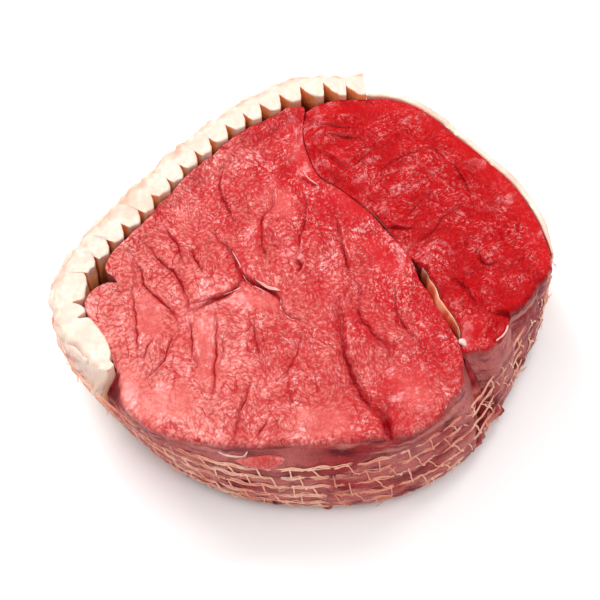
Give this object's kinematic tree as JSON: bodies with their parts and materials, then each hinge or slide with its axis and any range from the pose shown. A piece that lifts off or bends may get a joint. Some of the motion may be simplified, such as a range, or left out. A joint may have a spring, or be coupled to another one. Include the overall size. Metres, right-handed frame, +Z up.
{
  "type": "raw beef joint",
  "caption": "Raw netted beef joint lying on its cut face: a thick slice of lean with a scored slab of fat along one side and an elastic net round it.",
  "frame": {"origin": "centre of the box's underside, on the surface that the joint lies on", "axes": "+Z up through the upper cut face; +X along the longest extent, from the fat's free end to the right-hand muscle; +Y to the back, towards the scored fat"},
  "size_m": [0.1976, 0.1846, 0.0541],
  "materials": {
    "lean_meat": "raw cut meat, moist and finely fibrous",
    "deep_red_meat": "raw cut meat, deeper red and moist",
    "seam_fat": "soft fat, satin",
    "fat": "firm creamy fat, satin",
    "fat_skin": "thin pale fat, satin",
    "net_thread": "elastic knitted thread, meat-stained"
  },
  "bodies": {
    "root": {"main_muscle": "lean_meat", "right_muscle": "deep_red_meat", "seam_fat": "seam_fat", "scored_fat": "fat", "fat_skin": "fat_skin", "net": "net_thread"}
  },
  "joints": []
}
